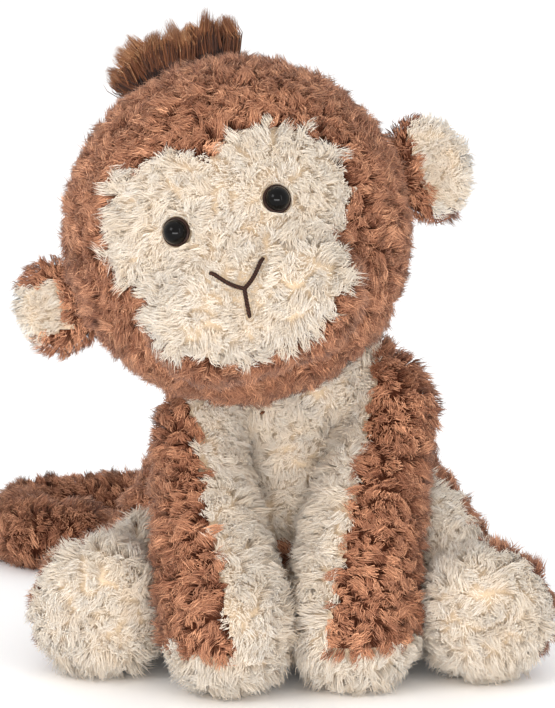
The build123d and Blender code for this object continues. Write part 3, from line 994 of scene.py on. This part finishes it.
base, free = tuft_way(angle, hair_lean, depth, clump_length[clump] * share, clump_droop[clump])
_, tips = tuft_way(clump_angle, clump_lean, clump_depth, clump_length, clump_droop)
gather = rng.uniform(0.3, 0.9, TUFT_HAIRS)[:, None] * share[:, None]
tip = free * (1 - gather) + tips[clump] * gather + rng.normal(size=(TUFT_HAIRS, 3)) * 0.35
bow = rng.normal(size=(TUFT_HAIRS, 3)) * 0.5 + rng.normal(size=(TUFT_CLUMPS, 3))[clump] * 1.2
rise = unit(base) * clump_length[clump, None] * 0.1
lower = base + (tip - base) * 0.28 + rise * 0.7 + bow * 0.5
upper = base + (tip - base) * 0.6 + rise + bow
line = np.stack([base, lower, upper, tip], 1)
line = from_head(line.reshape(-1, 3)).reshape(line.shape)
thick = rng.uniform(0.75, 1.15, TUFT_HAIRS) * TUFT_STRAND
radii = np.stack([thick, thick * 0.8], 1)
points, faces, place, normals = strand_mesh(line, radii, unit(line[:, 0] - head_centre))
# painted shade: strands on the monkey's left side of the tuft, away from the key light, are made darker
tone = rng.normal(0, 0.4, TUFT_CLUMPS)[clump] + rng.normal(0, 0.6, TUFT_HAIRS) - 0.4 * (angle > 0.1)
painted_light = place * TUFT_PAINTED_LIGHT  # steps of painted shade and highlight, from a shaded dark root to a lit light tip
slots = np.clip(np.round(painted_light + tone.repeat(len(faces) // TUFT_HAIRS)), 0, len(tuft_shades) - 1)
tuft = mesh_object("hair_tuft_strands", points, faces, tuft_shades, slots, normals)
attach(tuft, "head")
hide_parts("hair_tuft")

# Label: a ribbon folded back on itself, hanging out of the seam
LABEL_SAG = 4.0
LABEL_STEPS = 12
LABEL_ROWS = 6
LABEL_THICK = 0.3
LABEL_TUCK = 8.0  # how far its ends go into the seam
label_low, label_high = corners("care_label")
label_long = label_high[1] - label_low[1]
label_middle = (label_low[0] + label_high[0]) / 2
label_tall = label_high[2] - label_low[2]
out_run = np.linspace(-LABEL_TUCK, label_long - 1, LABEL_STEPS)
back_run = np.linspace(label_long - 1, -LABEL_TUCK, LABEL_STEPS)
label_rows = []
for lift, runs in ((LABEL_THICK * 2, out_run), (-LABEL_THICK * 2, back_run)):
    for run in runs:
        sag = LABEL_SAG * (max(0.0, run) / label_long) ** 2
        across, back = label_middle + lift + sag * 0.5, label_low[1] + run
        heights = label_low[2] + label_tall * np.linspace(0, 1, LABEL_ROWS) - sag
        label_rows += [(across, back, height) for height in heights]
label_faces = []
for i in range(2 * LABEL_STEPS - 1):
    for k in range(LABEL_ROWS - 1):
        first = i * LABEL_ROWS + k
        label_faces.append((first, first + 1, first + LABEL_ROWS + 1, first + LABEL_ROWS))
label_satin = fibre_material("label_satin", (226, 224, 216), (244, 242, 236), 2200)
label = mesh_object("care_label_ribbon", np.array(label_rows), np.array(label_faces), [label_satin])
thicken = label.modifiers.new("thickness", "SOLIDIFY")
thicken.thickness = LABEL_THICK * MM
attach(label, "torso")
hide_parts("care_label")

# The CAD pieces that stay inside: each word is part of the names of the nodes that take the material
INSIDE = {
    "stuffing": FILLING,
    "washer": gloss_material("washer_moulded", (214, 213, 208), (232, 231, 227), 200, 0.4),
    "pellet_bag": fibre_material("pellet_bag_weave", (206, 204, 196), (226, 224, 216), 1500),
    "seam_thread": thread_material("seam_thread_brown", (96, 58, 40), (140, 92, 66)),
}
for name, cad in frame["nodes"].items():
    for word, finish in INSIDE.items():
        if word in name:
            cad.data.materials.clear()
            cad.data.materials.append(finish)

# ---------------------------------------------------------------- camera, light and floor

CAMERA_PLACE = Vector((-0.0056, -1.121, 0.349))
CAMERA_AIM = Vector((-0.0056, -0.045, 0.122))
scene = bpy.context.scene
scene.view_settings.view_transform = "Standard"
camera_data = bpy.data.cameras.new("camera")
camera_data.lens = 151
camera_data.sensor_width = 36
camera_data.clip_end = 10
camera = bpy.data.objects.new("camera", camera_data)
camera.location = CAMERA_PLACE
camera.rotation_euler = (CAMERA_AIM - camera.location).to_track_quat("-Z", "Y").to_euler()
scene.collection.objects.link(camera)
scene.camera = camera

world = bpy.data.worlds.new("world")
world.use_nodes = True
world.node_tree.nodes["Background"].inputs["Color"].default_value = grey(1.0)
world.node_tree.nodes["Background"].inputs["Strength"].default_value = 1.15
scene.world = world


def area_light(name, place, size, power):
    lamp = bpy.data.lights.new(name, "AREA")
    lamp.shape = "RECTANGLE"
    lamp.size, lamp.size_y = size
    lamp.energy = power
    made = bpy.data.objects.new(name, lamp)
    made.location = place
    made.rotation_euler = (Vector((0, 0, 0.1)) - Vector(place)).to_track_quat("-Z", "Y").to_euler()
    scene.collection.objects.link(made)


area_light("key", (-0.9, -0.9, 0.9), (0.5, 0.5), 4.5)
area_light("strip", (0.7, -0.9, 0.5), (0.08, 0.9), 1.5)
area_light("front", (-0.1, -1.4, 0.1), (1.2, 0.3), 14)

FLOOR = 40.0  # metres from the middle to each edge
floor_material, tree, shader = material("floor_paper")
paper = noise(tree, 3)
tint = ramp(tree, paper.outputs["Fac"], [(0.0, grey(0.93)), (1.0, grey(0.95))])
tree.links.new(tint.outputs["Color"], shader.inputs["Base Color"])
shader.inputs["Roughness"].default_value = 0.9
corner = FLOOR / MM
floor_points = corner * np.array([[-1, -1, 0], [1, -1, 0], [1, 1, 0], [-1, 1, 0]])
floor = mesh_object("floor", floor_points, np.array([[0, 1, 2, 3]]), [floor_material])
